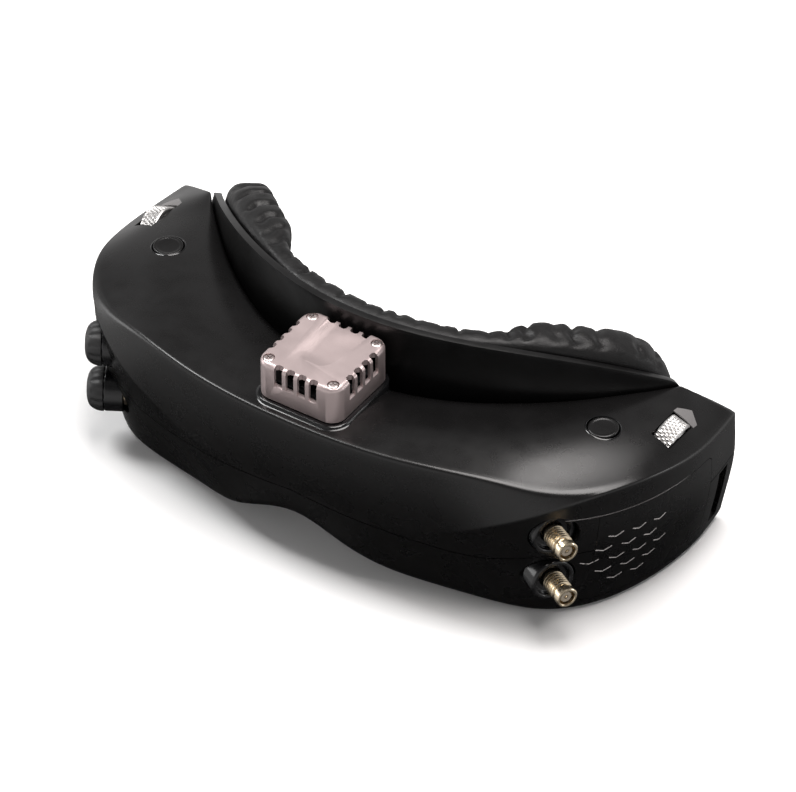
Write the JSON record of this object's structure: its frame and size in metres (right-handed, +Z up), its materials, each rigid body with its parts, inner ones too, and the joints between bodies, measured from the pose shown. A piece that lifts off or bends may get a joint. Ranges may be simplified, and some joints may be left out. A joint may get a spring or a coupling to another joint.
{
  "type": "fpv goggles",
  "caption": "Crescent-shaped black video goggles with a louvred fan block on top, side antenna jacks, jog wheels, buttons, and a padded face ring.",
  "frame": {"origin": "bottom centre of the object's bounding box, on the surface it stands on", "axes": "+X towards the wearer's left, +Y to the rear (towards the face), +Z up"},
  "size_m": [0.192, 0.0859, 0.0699],
  "materials": {
    "shell": "satin black moulded plastic",
    "plate": "fine textured matte black",
    "foam": "soft wrinkled black leatherette over foam",
    "block": "champagne anodised satin",
    "steel": "bright",
    "wheel": "silver, knurled",
    "gold": "gold plated, bright",
    "rubber": "matte black",
    "lens": "clear coated",
    "board": "green circuit board",
    "sink": "grey anodised",
    "inner": "moulded black",
    "screen": "polished dark"
  },
  "bodies": {
    "visor": {"upper_shell": "shell", "lower_shell": "shell", "side_cover_left": "shell", "side_cover_right": "shell", "jack_boss_upper_left": "inner", "jack_boss_upper_right": "inner", "jack_boss_lower_left": "inner", "jack_boss_lower_right": "inner", "fan_plinth": "inner", "fan_frame": "inner", "optics_frame": "inner", "power_socket": "inner", "audio_socket": "inner", "antenna_jack_upper_left": "gold", "antenna_jack_upper_right": "gold", "antenna_jack_lower_left": "gold", "antenna_jack_lower_right": "gold", "fan_cover": "block", "fan_screw_1": "steel", "fan_screw_2": "steel", "fan_screw_3": "steel", "fan_screw_4": "steel", "usb_socket": "steel", "video_socket": "steel", "shell_screw_inner_left": "steel", "shell_screw_inner_right": "steel", "shell_screw_outer_left": "steel", "shell_screw_outer_right": "steel", "heat_sink": "sink", "button_switch_left": "board", "button_switch_right": "board", "main_board": "board", "receiver_board_left": "board", "receiver_board_right": "board", "face_plate": "plate", "face_foam": "foam"},
    "button_left": {"button_left": "shell"},
    "wheel_carrier_left": {"wheel_yoke_left": "inner", "wheel_pin_left": "steel"},
    "wheel_left": {"jog_wheel_left": "wheel"},
    "button_right": {"button_right": "shell"},
    "wheel_carrier_right": {"wheel_yoke_right": "inner", "wheel_pin_right": "steel"},
    "wheel_right": {"jog_wheel_right": "wheel"},
    "fan": {"fan_rotor": "inner"},
    "cap_upper": {"dust_cap_upper": "rubber"},
    "cap_lower": {"dust_cap_lower": "rubber"},
    "carriage_left": {"eye_carriage_left": "inner", "display_left": "screen", "eye_slide_left": "rubber"},
    "ring_left": {"focus_ring_left": "rubber"},
    "barrel_left": {"lens_barrel_left": "inner", "lens_left": "lens"},
    "carriage_right": {"eye_carriage_right": "inner", "display_right": "screen", "eye_slide_right": "rubber"},
    "ring_right": {"focus_ring_right": "rubber"},
    "barrel_right": {"lens_barrel_right": "inner", "lens_right": "lens"}
  },
  "joints": [
    {"name": "button_left_press", "type": "slide", "parent": "visor", "child": "button_left", "axis": [0, 0, -1], "range_m": [0, 0.0006], "stiffness_N_per_m": 800, "springref_m": -0.0004},
    {"name": "wheel_left_press", "type": "slide", "parent": "visor", "child": "wheel_carrier_left", "axis": [-0.3256, 0, -0.9455], "range_m": [0, 0.0005], "stiffness_N_per_m": 1200, "springref_m": -0.0004},
    {"name": "wheel_left_turn", "type": "hinge", "parent": "wheel_carrier_left", "child": "wheel_left", "pos_m": [0.0857, 0.0188, 0.0418], "axis": [0.9455, 0, -0.3256], "continuous": true},
    {"name": "button_right_press", "type": "slide", "parent": "visor", "child": "button_right", "axis": [0, 0, -1], "range_m": [0, 0.0006], "stiffness_N_per_m": 800, "springref_m": -0.0004},
    {"name": "wheel_right_press", "type": "slide", "parent": "visor", "child": "wheel_carrier_right", "axis": [0.3256, 0, -0.9455], "range_m": [0, 0.0005], "stiffness_N_per_m": 1200, "springref_m": -0.0004},
    {"name": "wheel_right_turn", "type": "hinge", "parent": "wheel_carrier_right", "child": "wheel_right", "pos_m": [-0.0857, 0.0188, 0.0418], "axis": [-0.9455, 0, -0.3256], "continuous": true},
    {"name": "fan_spin", "type": "hinge", "parent": "visor", "child": "fan", "pos_m": [0, -0.0251, 0.057], "axis": [0, 0, 1], "continuous": true},
    {"name": "cap_upper_pull", "type": "slide", "parent": "visor", "child": "cap_upper", "axis": [-0.866, -0.5, 0], "range_m": [0, 0.012]},
    {"name": "cap_lower_pull", "type": "slide", "parent": "visor", "child": "cap_lower", "axis": [-0.866, -0.5, 0], "range_m": [0, 0.012]},
    {"name": "eye_left_distance", "type": "slide", "parent": "visor", "child": "carriage_left", "axis": [1, 0, 0], "range_m": [-0.004, 0.004]},
    {"name": "focus_left_turn", "type": "hinge", "parent": "carriage_left", "child": "ring_left", "pos_m": [0.032, -0.0066, 0.0258], "axis": [0, 1, 0], "range_deg": [-60, 60]},
    {"name": "focus_left_travel", "type": "slide", "parent": "carriage_left", "child": "barrel_left", "axis": [0, 1, 0], "range_m": [-0.002, 0.002]},
    {"name": "eye_right_distance", "type": "slide", "parent": "visor", "child": "carriage_right", "axis": [1, 0, 0], "range_m": [-0.004, 0.004]},
    {"name": "focus_right_turn", "type": "hinge", "parent": "carriage_right", "child": "ring_right", "pos_m": [-0.032, -0.0066, 0.0258], "axis": [0, 1, 0], "range_deg": [-60, 60]},
    {"name": "focus_right_travel", "type": "slide", "parent": "carriage_right", "child": "barrel_right", "axis": [0, 1, 0], "range_m": [-0.002, 0.002]}
  ],
  "couplings": [
    {"joint": "focus_left_turn", "follows": "focus_left_travel", "rad_per_m": 520},
    {"joint": "focus_right_turn", "follows": "focus_right_travel", "rad_per_m": 520}
  ]
}
